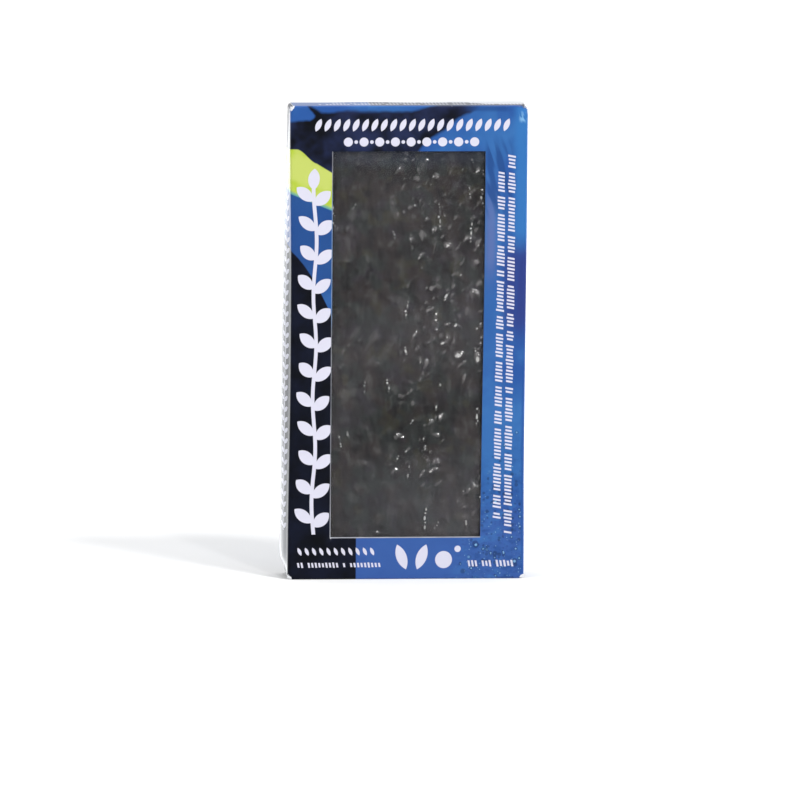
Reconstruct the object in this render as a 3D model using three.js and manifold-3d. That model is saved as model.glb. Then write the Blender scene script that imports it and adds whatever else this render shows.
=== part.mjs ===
// A shut windowed carton of dried green seaweed sheets, in millimetres.
// It stands upright: +X is to the right of someone who faces the window, +Y goes to the back
// and +Z is up. The origin is the middle of the base.
import * as THREE from "three";
import { mergeVertices } from "three/addons/utils/BufferGeometryUtils.js";
import Module from "manifold-3d";

const wasm = await Module();
wasm.setup();

// Driving dimensions of the carton
const packWidth = 66;
const packDepth = 16;
const packHeight = 132;
const boardThickness = 0.45;
const foldRadius = 0.8;
const tightFoldRadius = 0.6;
const boardGap = 0.15;
const windowMargin = 12;
const windowSill = 11.5;
const windowHeight = 107.8;
const leftBow = 1.7;
const rightBow = 0.65;
const bowPeakHeight = 20;
const bowRise = 7;

// Driving dimensions of the film and the seaweed
const filmThickness = 0.15;
const filmOverlap = 4;
const glueLine = 0.1;
const sheetWidth = 60;
const sheetHeight = 126;
const sheetThickness = 0.25;
const sheetCrinkle = 0.5;
const sheetCount = 50;
const layersShown = 12;

// Worked out from them
const halfWidth = packWidth / 2;
const halfDepth = packDepth / 2;
const closureHalfWidth = halfWidth - foldRadius;
const tuckOuter = halfDepth - boardThickness - boardGap;
const tuckLength = windowSill - 0.5;
const tuckHalfWidth = closureHalfWidth - 1.2;
const tuckCorner = 5;
const sideTop = packHeight - boardThickness - boardGap;
const tubeTop = sideTop - tightFoldRadius;
const dustLength = 13;
const dustFront = -halfDepth + foldRadius;
const dustBack = tuckOuter - boardThickness - 0.25;
const dustOverlap = 1.2;
const glueFlapWidth = 12;
const filmFront = -halfDepth + boardThickness + glueLine;
const sheetBase = 2 * boardThickness + boardGap + 0.35;
const frontSheetY = filmFront + filmThickness + sheetCrinkle + sheetThickness / 2 + 0.1;
const stackFront = frontSheetY + sheetCrinkle + sheetThickness / 2 + 0.15;
const stackDepth = (sheetCount - 1) * sheetThickness;
const arcSteps = 4;

// Closed geometry to a manifold solid, and back.
function toSolid(geometry) {
  const bare = geometry.index ? geometry.toNonIndexed() : geometry.clone();
  bare.deleteAttribute("normal");
  bare.deleteAttribute("uv");
  const merged = mergeVertices(bare, 1e-4);
  return new wasm.Manifold(
    new wasm.Mesh({
      numProp: 3,
      vertProperties: merged.attributes.position.array,
      triVerts: new Uint32Array(merged.index.array),
    }),
  );
}

function toGeometry(solid) {
  const mesh = solid.getMesh();
  const geometry = new THREE.BufferGeometry();
  geometry.setAttribute("position", new THREE.BufferAttribute(mesh.vertProperties, 3));
  geometry.setIndex(new THREE.BufferAttribute(mesh.triVerts, 1));
  geometry.computeVertexNormals();
  return geometry;
}

// A box between two corners, each an array of x, y and z.
function block(low, high) {
  const size = high.map((value, i) => value - low[i]);
  const middle = high.map((value, i) => (value + low[i]) / 2);
  return toSolid(new THREE.BoxGeometry(...size).translate(...middle));
}

// A closed surface from rings of points that share one count, capped at both ends.
function loftGeometry(rings) {
  const count = rings[0].length;
  const positions = rings.flat().flatMap((point) => [point.x, point.y, point.z]);
  const index = [];
  for (let r = 0; r + 1 < rings.length; r++)
    for (let i = 0; i < count; i++) {
      const a = r * count + i;
      const b = r * count + ((i + 1) % count);
      index.push(a, b, b + count, a, b + count, a + count);
    }
  [rings[0], rings.at(-1)].forEach((ring, end) => {
    const middle = positions.length / 3;
    const centre = ring
      .reduce((sum, point) => sum.add(point), new THREE.Vector3())
      .divideScalar(count);
    positions.push(centre.x, centre.y, centre.z);
    const first = end ? (rings.length - 1) * count : 0;
    for (let i = 0; i < count; i++) {
      const a = first + i;
      const b = first + ((i + 1) % count);
      index.push(...(end ? [a, b, middle] : [b, a, middle]));
    }
  });
  const geometry = new THREE.BufferGeometry();
  geometry.setAttribute("position", new THREE.Float32BufferAttribute(positions, 3));
  geometry.setIndex(index);
  return geometry;
}

// Repeatable noise: a hash of whole numbers, and smooth values between them.
function hash(a, b) {
  const wild = Math.sin(a * 127.1 + b * 311.7) * 43758.5453;
  return wild - Math.floor(wild);
}

function smoothNoise(x, y) {
  const column = Math.floor(x);
  const row = Math.floor(y);
  const s = THREE.MathUtils.smoothstep(x - column, 0, 1);
  const t = THREE.MathUtils.smoothstep(y - row, 0, 1);
  const low = THREE.MathUtils.lerp(hash(column, row), hash(column + 1, row), s);
  const high = THREE.MathUtils.lerp(hash(column, row + 1), hash(column + 1, row + 1), s);
  return THREE.MathUtils.lerp(low, high, t) * 2 - 1;
}

// How far the contents push a side panel out at a height, from 0 to 1.
function bowAt(height) {
  const rise = THREE.MathUtils.smoothstep(height, 0, bowRise);
  const climb = Math.max(0, (height - bowPeakHeight) / (packHeight - bowPeakHeight));
  return rise * (1 - climb ** 3);
}

// One level of the four-panel tube, inset from its outer face.
function tubeRing(height, inset) {
  const x = halfWidth - inset;
  const y = halfDepth - inset;
  const radius = foldRadius - inset;
  const outline = new THREE.Path();
  outline.absarc(x - radius, y - radius, radius, 0, Math.PI / 2);
  outline.absarc(radius - x, y - radius, radius, Math.PI / 2, Math.PI);
  outline.absarc(radius - x, radius - y, radius, Math.PI, Math.PI * 1.5);
  outline.absarc(x - radius, radius - y, radius, Math.PI * 1.5, Math.PI * 2);
  const corners = outline.getPoints(arcSteps);
  const sideSteps = 8;
  const ring = [];
  corners.forEach((point, i) => {
    const next = corners[(i + 1) % corners.length];
    const onSide = Math.abs(point.x - next.x) < 1e-9 && point.distanceTo(next) > radius;
    const steps = onSide ? sideSteps : 1;
    for (let s = 0; s < steps; s++) ring.push(point.clone().lerp(next, s / steps));
  });
  const reach = halfDepth - foldRadius;
  return ring.map((point) => {
    const across = THREE.MathUtils.clamp(point.y / reach, -1, 1);
    const bow = (point.x > 0 ? rightBow : -leftBow) * bowAt(height) * (1 - across * across);
    const onPanel = Math.abs(point.x) > halfWidth - foldRadius;
    return new THREE.Vector3(point.x + (onPanel ? bow : 0), point.y, height);
  });
}

function tube() {
  const levels = 18;
  const crowding = 1.3;
  const low = packHeight - tubeTop;
  const heights = Array.from(
    { length: levels + 1 },
    (_, i) => low + (tubeTop - low) * (i / levels) ** crowding,
  );
  const outer = toSolid(loftGeometry(heights.map((height) => tubeRing(height, 0))));
  // The cutter runs past both ends, where the panels are straight.
  const inside = [low - 1, ...heights, tubeTop + 1].map((height) => {
    const level = THREE.MathUtils.clamp(height, low, tubeTop);
    return tubeRing(level, boardThickness).map((point) => point.setZ(height));
  });
  return outer.subtract(toSolid(loftGeometry(inside)));
}

// A band of board whose outline in two directions is extruded along the third.
function extrudeAlongX(shape, halfLength) {
  const geometry = new THREE.ExtrudeGeometry(shape, {
    depth: 2 * halfLength,
    bevelEnabled: false,
    curveSegments: arcSteps,
  });
  geometry.translate(0, 0, -halfLength);
  const turn = new THREE.Matrix4().makeBasis(
    new THREE.Vector3(0, 1, 0),
    new THREE.Vector3(0, 0, 1),
    new THREE.Vector3(1, 0, 0),
  );
  return toSolid(geometry.applyMatrix4(turn));
}

function extrudeAlongY(shape, from, to) {
  const geometry = new THREE.ExtrudeGeometry(shape, {
    depth: to - from,
    bevelEnabled: false,
    curveSegments: arcSteps,
  });
  geometry.rotateX(Math.PI / 2).translate(0, to, 0);
  return toSolid(geometry);
}

// The front panel and the two closure panels folded from it, up to the tuck folds.
function closureBand() {
  const stub = 2.5;
  const outline = (inset, forward) => {
    const big = foldRadius - inset;
    const small = tightFoldRadius - inset;
    const front = -halfDepth + inset;
    const back = tuckOuter - inset;
    const top = packHeight - inset;
    const path = new THREE.Path();
    path.moveTo(back, packHeight - stub);
    path.lineTo(back, top - small);
    path.absarc(back - small, top - small, small, 0, Math.PI / 2);
    path.absarc(front + big, top - big, big, Math.PI / 2, Math.PI);
    path.absarc(front + big, inset + big, big, Math.PI, Math.PI * 1.5);
    path.absarc(back - small, inset + small, small, Math.PI * 1.5, Math.PI * 2);
    path.lineTo(back, stub);
    const points = path.getPoints(arcSteps);
    return forward ? points : points.reverse();
  };
  const shape = new THREE.Shape([...outline(0, true), ...outline(boardThickness, false)]);
  return extrudeAlongX(shape, closureHalfWidth);
}

// A tuck flap hangs behind the back panel, with its free corners rounded.
function tuckFlap(end) {
  const x = tuckHalfWidth;
  const fold = end * (packHeight / 2 - 1.2);
  const edge = end * (packHeight / 2 - tuckLength);
  const shape = new THREE.Shape();
  shape.moveTo(-x, fold);
  shape.lineTo(x, fold);
  shape.lineTo(x, edge + end * tuckCorner);
  shape.quadraticCurveTo(x, edge, x - tuckCorner, edge);
  shape.lineTo(tuckCorner - x, edge);
  shape.quadraticCurveTo(-x, edge, -x, edge + end * tuckCorner);
  return extrudeAlongY(shape, tuckOuter - boardThickness, tuckOuter).translate(0, 0, packHeight / 2);
}

// A dust flap folds in from a side panel, under a closure panel.
function dustFlap(side, end) {
  const middle = packHeight / 2;
  const fold = sideTop - middle;
  const radius = tightFoldRadius;
  const inner = radius - boardThickness;
  const shape = new THREE.Shape();
  shape.moveTo(halfWidth, fold - radius - dustOverlap);
  shape.absarc(halfWidth - radius, fold - radius, radius, 0, Math.PI / 2);
  shape.lineTo(halfWidth - dustLength, fold);
  shape.lineTo(halfWidth - dustLength, fold - boardThickness);
  shape.absarc(halfWidth - radius, fold - radius, inner, Math.PI / 2, 0, true);
  shape.lineTo(halfWidth - boardThickness, fold - radius - dustOverlap);
  const flap = extrudeAlongY(shape, dustFront, dustBack);
  const turned = side < 0 ? flap.mirror([1, 0, 0]) : flap;
  return (end < 0 ? turned.mirror([0, 0, 1]) : turned).translate(0, 0, middle);
}

// The raw edges of the back panel, which reach past the tube at each end.
function backPanelEdges() {
  const reach = 0.4;
  return [
    [reach, packHeight - tubeTop + 1],
    [tubeTop - 1, packHeight - reach],
  ].map(([low, high]) =>
    block(
      [-closureHalfWidth, halfDepth - boardThickness, low],
      [closureHalfWidth, halfDepth, high],
    ),
  );
}

// The flap that the maker glues inside the back panel, at its left end.
function glueFlap() {
  const inner = halfDepth - boardThickness;
  const clear = windowMargin + 2;
  return block(
    [-halfWidth + boardThickness - 0.05, inner - boardThickness, clear],
    [-halfWidth + glueFlapWidth, inner + 0.05, packHeight - clear],
  );
}

function cartonGeometry() {
  const pieces = [tube(), closureBand(), glueFlap(), ...backPanelEdges()];
  for (const end of [-1, 1]) {
    pieces.push(tuckFlap(end));
    for (const side of [-1, 1]) pieces.push(dustFlap(side, end));
  }
  const folded = wasm.Manifold.union(pieces);
  const opening = block(
    [-halfWidth + windowMargin, -halfDepth - 1, windowSill],
    [halfWidth - windowMargin, -halfDepth + boardThickness + 0.2, windowSill + windowHeight],
  );
  return toGeometry(folded.subtract(opening));
}

function filmGeometry() {
  const width = packWidth - 2 * windowMargin + 2 * filmOverlap;
  const height = windowHeight + 2 * filmOverlap;
  return new THREE.BoxGeometry(width, filmThickness, height).translate(
    0,
    filmFront + filmThickness / 2,
    windowSill + windowHeight / 2,
  );
}

// The front sheet's middle surface: long waves, and lumps where pressed fronds lie over each other.
function crinkle(x, z) {
  const wave = 0.3 * Math.sin(x * 0.21 + z * 0.05) * Math.sin(z * 0.09 + 1);
  const lumps = 0.5 * smoothNoise(x * 0.17 + 7, z * 0.1) + 0.4 * smoothNoise(x * 0.3, z * 0.21 + 3);
  return sheetCrinkle * THREE.MathUtils.clamp(wave + lumps, -1, 1);
}

// A thin wavy leaf: both faces are the same grid, and a strip of edge joins them.
function leafGeometry(columns, rows, thickness, place) {
  const positions = [];
  for (const face of [-1, 1])
    for (let r = 0; r <= rows; r++)
      for (let c = 0; c <= columns; c++) {
        const point = place(c / columns, r / rows);
        positions.push(point.x, point.y + (face * thickness) / 2, point.z);
      }
  const stride = columns + 1;
  const backFace = stride * (rows + 1);
  const index = [];
  for (let r = 0; r < rows; r++)
    for (let c = 0; c < columns; c++) {
      const a = r * stride + c;
      const [b, d, e] = [a + 1, a + stride, a + stride + 1];
      index.push(a, b, e, a, e, d);
      index.push(a + backFace, e + backFace, b + backFace, a + backFace, d + backFace, e + backFace);
    }
  const edge = [];
  for (let c = 0; c < columns; c++) edge.push(c);
  for (let r = 0; r < rows; r++) edge.push(r * stride + columns);
  for (let c = columns; c > 0; c--) edge.push(rows * stride + c);
  for (let r = rows; r > 0; r--) edge.push(r * stride);
  edge.forEach((a, i) => {
    const b = edge[(i + 1) % edge.length];
    index.push(a, a + backFace, b + backFace, a, b + backFace, b);
  });
  const geometry = new THREE.BufferGeometry();
  geometry.setAttribute("position", new THREE.Float32BufferAttribute(positions, 3));
  geometry.setIndex(index);
  geometry.computeVertexNormals();
  return geometry;
}

// A sheet's edge wanders in and out a little, as torn and pressed seaweed does.
function ragged(along, seed) {
  return 0.5 * smoothNoise(along * 0.16, seed) + 0.25 * smoothNoise(along * 0.6, seed + 0.5);
}

function frontSheetGeometry() {
  return leafGeometry(24, 50, sheetThickness, (u, v) => {
    const z = sheetBase + sheetHeight * v;
    const side = sheetWidth / 2 + ragged(z, u < 0.5 ? 11 : 17);
    const x = (2 * u - 1) * side;
    const lift = v > 0.5 ? ragged(x, 23) * (v - 0.5) * 2 : 0;
    return new THREE.Vector3(x, frontSheetY + crinkle(x, z), z + lift);
  });
}

// One outline of the pile as a ring at one depth: up its left edge, then clockwise from the front.
function pileRing(depth, inset, seed) {
  const across = 5;
  const up = 12;
  const x = sheetWidth / 2 - inset;
  const low = sheetBase + inset;
  const high = sheetBase + sheetHeight - inset;
  const ring = [];
  const add = (px, pz) => ring.push(new THREE.Vector3(px, depth, pz));
  const wander = (along, side) => (seed ? 0.6 * ragged(along, seed + side) : 0);
  for (let i = 0; i < up; i++) {
    const z = low + ((high - low) * i) / up;
    add(-x - wander(z, 1), z);
  }
  for (let i = 0; i < across; i++) {
    const px = (2 * x * i) / across - x;
    add(px, high + wander(px, 2));
  }
  for (let i = 0; i < up; i++) {
    const z = high - ((high - low) * i) / up;
    add(x + wander(z, 3), z);
  }
  for (let i = 0; i < across; i++) add(x - (2 * x * i) / across, low);
  return ring;
}

// The sheets behind the front one, as a pile with grooves between its layers.
function pileGeometry() {
  const layer = stackDepth / layersShown;
  const groove = 0.25 * layer;
  const setBack = 1.1;
  const rings = [];
  for (let i = 0; i < layersShown; i++) {
    const front = stackFront + i * layer;
    const back = front + layer - groove;
    if (i > 0) rings.push(pileRing(front, setBack, 0));
    rings.push(pileRing(front, 0.5, 30 + 5 * i), pileRing(back, 0.5, 30 + 5 * i));
    if (i + 1 < layersShown) rings.push(pileRing(back, setBack, 0));
  }
  return loftGeometry(rings);
}

const materials = {
  board: new THREE.MeshStandardMaterial({ color: 0x1f4f9a, roughness: 0.35, metalness: 0 }),
  film: new THREE.MeshStandardMaterial({
    color: 0xf4f6f6,
    roughness: 0.06,
    metalness: 0,
    transparent: true,
    opacity: 0.15,
  }),
  seaweed: new THREE.MeshStandardMaterial({ color: 0x33332e, roughness: 0.45, metalness: 0 }),
};

function piece(name, geometry, material) {
  const mesh = new THREE.Mesh(geometry, material);
  mesh.name = name;
  return mesh;
}

const pack = new THREE.Group();
pack.name = "seaweed_pack";
pack.add(
  piece("carton", cartonGeometry(), materials.board),
  piece("window_film", filmGeometry(), materials.film),
  piece("front_sheet", frontSheetGeometry(), materials.seaweed),
  piece("sheet_pile", pileGeometry(), materials.seaweed),
);

export default pack;
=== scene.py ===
"""A shut, windowed carton of dried green seaweed sheets: its looks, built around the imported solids."""
import functools
import itertools
import math
import random

import bpy
import numpy as np
from mathutils import Matrix, Vector


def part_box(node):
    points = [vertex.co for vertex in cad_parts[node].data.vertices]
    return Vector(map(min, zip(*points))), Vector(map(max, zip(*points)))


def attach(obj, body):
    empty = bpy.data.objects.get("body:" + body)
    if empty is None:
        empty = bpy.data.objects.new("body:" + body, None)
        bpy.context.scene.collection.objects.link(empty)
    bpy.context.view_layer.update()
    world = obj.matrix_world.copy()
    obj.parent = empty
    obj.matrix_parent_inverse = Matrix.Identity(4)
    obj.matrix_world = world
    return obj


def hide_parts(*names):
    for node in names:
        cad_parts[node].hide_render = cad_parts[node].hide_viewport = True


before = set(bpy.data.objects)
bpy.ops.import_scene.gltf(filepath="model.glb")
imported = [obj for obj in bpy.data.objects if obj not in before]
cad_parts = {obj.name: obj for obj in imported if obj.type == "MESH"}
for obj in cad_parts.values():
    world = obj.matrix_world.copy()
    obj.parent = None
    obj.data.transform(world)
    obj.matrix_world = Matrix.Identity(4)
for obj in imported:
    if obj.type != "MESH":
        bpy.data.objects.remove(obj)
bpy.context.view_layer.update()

MM = 0.001

# The solids that the pieces below stand for. The window faces -Y and the base stands on z = 0
carton_low, carton_high = [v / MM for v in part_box("carton")]
film_low, film_high = [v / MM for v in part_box("window_film")]
front_low, front_high = [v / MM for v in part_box("front_sheet")]
pile_low, pile_high = [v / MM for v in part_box("sheet_pile")]

# The carton, in millimetres. A fold's number is the radius of its outer face
WIDTH = 66.0
DEPTH = carton_high.y - carton_low.y
HEIGHT = carton_high.z
HALF_W, HALF_D = WIDTH / 2, DEPTH / 2
BOARD = 0.45
FOLD = 0.8
TIGHT_FOLD = 0.6
GLUE_FOLD = 0.7
CLOSURE_FOLD = 0.5
CLOSURE_GAP = 0.15
GLUE_GAP = 0.03
BACK_CUT = 0.05
TUCK_LENGTH = 10.4
DUST_LENGTH = 12.0
GLUE_FLAP = 11.0
GLUE_CLEAR = 14.0
PANEL_REACH = 0.4
POST_REACH = 0.2

# The window. Its sill sits a little above the film's overlap, as in the photo
FILM_OVERLAP = 4.0
SILL_LIFT = 0.3
WINDOW_HALF = film_high.x - FILM_OVERLAP
SILL = film_low.z + FILM_OVERLAP + SILL_LIFT
LINTEL = film_high.z - FILM_OVERLAP

# Where the blank's folds begin and end, along its width and its height
QUARTER = math.pi / 2
CREASE = HALF_W - FOLD
ARC = FOLD * QUARTER
SIDE_START = CREASE + ARC
SIDE_END = SIDE_START + DEPTH - 2 * FOLD
BACK_START = SIDE_END + ARC
BACK_END = BACK_START + 2 * CREASE + FOLD - BACK_CUT
GLUE_Y = HALF_D - BOARD - GLUE_GAP
LEFT_END = SIDE_START + GLUE_Y + HALF_D - FOLD - GLUE_FOLD
GLUE_START = LEFT_END + GLUE_FOLD * QUARTER
TUBE_TOP = HEIGHT - BOARD - CLOSURE_GAP - TIGHT_FOLD
TUBE_LOW = HEIGHT - TUBE_TOP
CLOSURE_ACROSS = DEPTH - BOARD - CLOSURE_GAP - TIGHT_FOLD - CLOSURE_FOLD
CLOSURE_START = HEIGHT - CLOSURE_FOLD
CLOSURE_ARC = CLOSURE_FOLD * QUARTER
CLOSURE_BACK = CLOSURE_START + CLOSURE_ARC + CLOSURE_ACROSS
TIGHT_ARC = TIGHT_FOLD * QUARTER
TUCK_START = CLOSURE_BACK + TIGHT_ARC
TOLERANCE = 1e-3

# How the full pack swells, where its waist draws in and how it leans
LEFT_BOW = -carton_low.x - HALF_W
RIGHT_BOW = carton_high.x - HALF_W
BOW_PEAK = 20.0
BOW_RISE = 7.0
FACE_SWELL = 0.22
LEFT_WAIST = 0.45
RIGHT_WAIST = 0.18
LEAN = 0.0052
WINDOW_LEAN = 0.3

# How far a crushed corner moves and how far round it that reaches, and how far off print is lost
WORST_CRUSH = (0.8, 3.2)
OTHER_CRUSH = (0.22, 2.0)
WORN_REACH = 2.3

# The cut edges of the window: how wide each pale, worn rim is and how deep it slopes
RIM_WIDTH = 0.26
RIM_DROP = 0.24

# How thick the film and the sheets are, how many lie behind the front one, and its relief's limit
FILM_THICK = 0.06
FRONT_THICK = 0.16
LEAF_THICK = 0.14
LEAF_COUNT = 49
RELIEF = 0.46

# Two sizes of blister: width, height and share of the places, seed, rise, and least share when calm
BLISTERS = ((3.0, 3.8, 0.46, 101, 0.42, 0.4), (1.7, 2.3, 0.42, 131, 0.28, 0.3))

# The strings of beads on the front sheet: how many, how many of them long, how far apart the beads
# of one are, and the length that each string has to itself in the numbers along them
STRING_COUNT = 34
LONG_STRINGS = 11
BEAD_PITCH = 1.3
STRING_STEP = 8 * BEAD_PITCH

# The photo's frame and where its camera stood
CAMERA_DISTANCE = 2.5
CAMERA_AZIMUTH = -3.7
CAMERA_ELEVATION = 6.3
CAMERA_ROLL = 0.15
PX_PER_M = 3595.0
FRAME_PX = 800
PACK_MIDDLE_PX = (405.6, 340.0)

# The studio's light: the world's strength in front and behind, how many times brighter its back is
# below the horizon to the sides, what share of it is lost there in the middle, and its tint. Then
# each lamp's name, azimuth, elevation, strength and spread
WORLD_FRONT, WORLD_BACK = 0.1, 0.75
WORLD_LOW_GAIN = 5.0
WORLD_LOW_LOSS = 0.8
WORLD_TINT = (0.96, 0.98, 1.0, 1.0)
SUNS = (
    ("key", 38.0, 48.0, 1.7, 12.0),
    ("fill", -52.0, 40.0, 0.7, 30.0),
    ("overhead", 0.0, 88.0, 1.4, 60.0),
    ("sparkle", 16.0, 24.0, 0.6, 3.0),
)
FLOOR_HALF = 12000.0


def smoothstep(value, low, high):
    t = np.clip((value - low) / (high - low), 0, 1)
    return t * t * (3 - 2 * t)


def lattice(ix, iy, seed):
    wild = np.sin(ix * 127.1 + iy * 311.7 + seed * 74.7) * 43758.5453
    return wild - np.floor(wild)


def value_noise(x, y, seed=0):
    """Smooth noise from -1 to 1 with features one unit across."""
    x, y = np.broadcast_arrays(np.asarray(x, float), np.asarray(y, float))
    ix, iy = np.floor(x), np.floor(y)
    u, v = smoothstep(x - ix, 0, 1), smoothstep(y - iy, 0, 1)
    low = lattice(ix, iy, seed) * (1 - u) + lattice(ix + 1, iy, seed) * u
    high = lattice(ix, iy + 1, seed) * (1 - u) + lattice(ix + 1, iy + 1, seed) * u
    return 2 * (low * (1 - v) + high * v) - 1


def layered_noise(x, y, octaves, seed, fade=0.5):
    total, weights = 0.0, [fade**i for i in range(octaves)]
    for i, weight in enumerate(weights):
        turn = 0.6 * i
        u = (x * math.cos(turn) - y * math.sin(turn)) * 2**i
        v = (x * math.sin(turn) + y * math.cos(turn)) * 2**i
        total = total + weight * value_noise(u, v, seed + 7 * i)
    return total / sum(weights)


def nearest_cell(u, v, seed):
    """Distance to the nearest of one scattered point per unit cell, and that point's own number."""
    iu, iv = np.floor(u), np.floor(v)
    nearest = np.full(u.shape, 9.0)
    number = np.zeros(u.shape)
    for di, dj in itertools.product((-1, 0, 1), repeat=2):
        ci, cj = iu + di, iv + dj
        px = ci + 0.15 + 0.7 * lattice(ci, cj, seed)
        py = cj + 0.15 + 0.7 * lattice(ci, cj, seed + 1)
        gap = np.hypot(u - px, v - py)
        number = np.where(gap < nearest, lattice(ci, cj, seed + 2), number)
        nearest = np.minimum(nearest, gap)
    return nearest, number


def spread(*stops):
    """Lines between stops, each span cut into steps: start, steps, next start, steps, ..., end."""
    lines = []
    for start, steps, end in zip(stops[0:-2:2], stops[1:-1:2], stops[2::2]):
        lines.extend(np.linspace(start, end, steps + 1)[:-1])
    lines.append(stops[-1])
    return lines


def add_mesh(name, points_mm, faces, materials, smooth=True, face_slots=None):
    mesh = bpy.data.meshes.new(name)
    mesh.from_pydata((np.asarray(points_mm) * MM).tolist(), [], faces)
    for material in materials:
        mesh.materials.append(material)
    mesh.polygons.foreach_set("use_smooth", np.full(len(faces), smooth))
    if face_slots is not None:
        mesh.polygons.foreach_set("material_index", np.asarray(face_slots, np.int32))
    mesh.update()
    piece = bpy.data.objects.new(name, mesh)
    bpy.context.scene.collection.objects.link(piece)
    return piece


def settle(piece, node):
    """Leans a piece with the whole pack, a little to the right at its top, and hands it over."""
    lean = Matrix.Identity(4)
    lean[0][2] = LEAN
    lean[0][3] = -LEAN * HEIGHT / 2 * MM
    piece.data.transform(lean)
    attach(piece, "root")
    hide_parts(node)


def add_values(piece, name, values, kind="FLOAT"):
    """Keeps a number or a vector for each point of a piece."""
    attribute = piece.data.attributes.new(name, kind, "POINT")
    key = "value" if kind == "FLOAT" else "vector"
    attribute.data.foreach_set(key, np.asarray(values, np.float32).ravel())


# A small language for shader trees


def by_node(operation):
    """A method that hands its numbers to a math node."""
    return lambda self, *others: self.tree.math(operation, self, *others)


class Field:
    """A number that a tree of nodes works out at each point of a surface."""

    __add__ = by_node("ADD")
    __sub__ = by_node("SUBTRACT")
    __mul__ = by_node("MULTIPLY")
    __truediv__ = by_node("DIVIDE")
    abs = by_node("ABSOLUTE")
    sin = by_node("SINE")
    root = by_node("SQRT")
    floor = by_node("FLOOR")
    least = by_node("MINIMUM")
    most = by_node("MAXIMUM")

    def __init__(self, tree, socket):
        self.tree = tree
        self.socket = socket

    def __rsub__(self, other):
        return self.tree.math("SUBTRACT", other, self)

    def wrapped(self, pitch):
        """Distance from the middle of the repeat that this place is in."""
        return self.tree.math("FLOORED_MODULO", self, pitch) - pitch / 2

    def step(self, low, high):
        """A smooth step from 0 at low to 1 at high, either way round."""
        ends = (high, low, 1.0, 0.0) if low > high else (low, high, 0.0, 1.0)
        return self.tree.ramp(self, *ends, "SMOOTHSTEP")

    def above(self, edge, soft):
        """1 above the edge and 0 below it, with a soft step that reaches that far either way."""
        return (self - edge).step(-soft, soft)

    def below(self, edge, soft):
        return (edge - self).step(-soft, soft)

    def near(self, middle, far, close):
        """1 where it is closer than that to the middle, falling to 0 where it is far."""
        return (self - middle).abs().step(far, close)

    def inside(self, soft):
        """1 where a signed distance is negative, 0 outside, with a soft edge of that width."""
        return self.step(soft / 2, -soft / 2)


class Tree:
    """Adds nodes to an empty tree and links them."""

    def __init__(self, tree):
        self.tree = tree
        tree.nodes.clear()

    def node(self, kind, **settings):
        node = self.tree.nodes.new("ShaderNode" + kind)
        for key, value in settings.items():
            setattr(node, key, value)
        return node

    def feed(self, node, **sockets):
        """Sets a node's sockets or links them: Base_Color=... for Base Color, and so on."""
        for key, value in sockets.items():
            self.put(node.inputs[key.replace("_", " ")], value)

    def put(self, socket, value):
        if isinstance(value, Field):
            value = value.socket
        if isinstance(value, bpy.types.NodeSocket):
            self.tree.links.new(value, socket)
        else:
            socket.default_value = value

    def math(self, operation, *values):
        node = self.node("Math", operation=operation)
        for socket, value in zip(node.inputs, values):
            self.put(socket, value)
        return Field(self, node.outputs[0])

    def ramp(self, value, low, high, start, end, kind="LINEAR"):
        """Runs from start to end while the value runs from low to high."""
        node = self.node("MapRange", interpolation_type=kind, clamp=True)
        self.feed(node, Value=value, From_Min=low, From_Max=high, To_Min=start, To_Max=end)
        return Field(self, node.outputs["Result"])

    def split(self, vector):
        node = self.node("SeparateXYZ")
        self.put(node.inputs[0], vector)
        return [Field(self, output) for output in node.outputs]


class Shader(Tree):
    """Builds one material's tree."""

    def __init__(self, name):
        self.material = bpy.data.materials.new(name)
        self.material.use_nodes = True
        super().__init__(self.material.node_tree)
        self.surface = self.node("BsdfPrincipled")
        self.feed(self.node("OutputMaterial"), Surface=self.surface.outputs["BSDF"])

    def finished(self, **sockets):
        """Sets the surface's sockets and hands over the material."""
        self.feed(self.surface, **sockets)
        return self.material

    def attribute(self, name):
        return self.node("Attribute", attribute_name=name)

    def number(self, name):
        return Field(self, self.attribute(name).outputs["Fac"])

    def vector(self, x, y, z):
        node = self.node("CombineXYZ")
        self.feed(node, X=x, Y=y, Z=z)
        return node.outputs[0]

    def blank_mm(self):
        """The place on the carton's flat blank, as a vector and as s and t."""
        place = self.attribute("blank_mm").outputs["Vector"]
        return place, self.split(place)[:2]

    def place_mm(self):
        """The object's own coordinates in millimetres, as a vector and as x, y and z."""
        node = self.node("VectorMath", operation="SCALE")
        self.put(node.inputs[0], self.node("TexCoord").outputs["Object"])
        self.feed(node, Scale=1 / MM)
        return node.outputs[0], self.split(node.outputs[0])

    def noise(self, vector, size, detail, roughness=0.5):
        """Noise from 0 to 1 whose broadest features are about that size across."""
        node = self.node("TexNoise", noise_dimensions="3D")
        self.feed(node, Vector=vector, Scale=1 / size, Detail=detail, Roughness=roughness)
        return Field(self, node.outputs["Fac"])

    def cells(self, vector, size):
        """Distance to the nearest of scattered points, in cells, and that point's own number."""
        node = self.node("TexVoronoi", feature="F1")
        self.feed(node, Vector=vector, Scale=1 / size)
        return Field(self, node.outputs["Distance"]), self.split(node.outputs["Color"])[0]

    def random(self, value):
        node = self.node("TexWhiteNoise", noise_dimensions="1D")
        self.feed(node, W=value)
        return Field(self, node.outputs["Value"])

    def coat(self, colour, *coats):
        """The colour under coats of others, each given as its share and its colour."""
        for share, above in coats:
            node = self.node("Mix", data_type="RGBA", clamp_factor=True)
            for number, value in ((0, share), (6, colour), (7, above)):
                self.put(node.inputs[number], value)
            colour = node.outputs[2]
        return colour

    def bump(self, height, height_mm):
        node = self.node("Bump")
        self.feed(node, Strength=1.0, Distance=height_mm * MM, Height=height)
        return node.outputs["Normal"]


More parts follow.
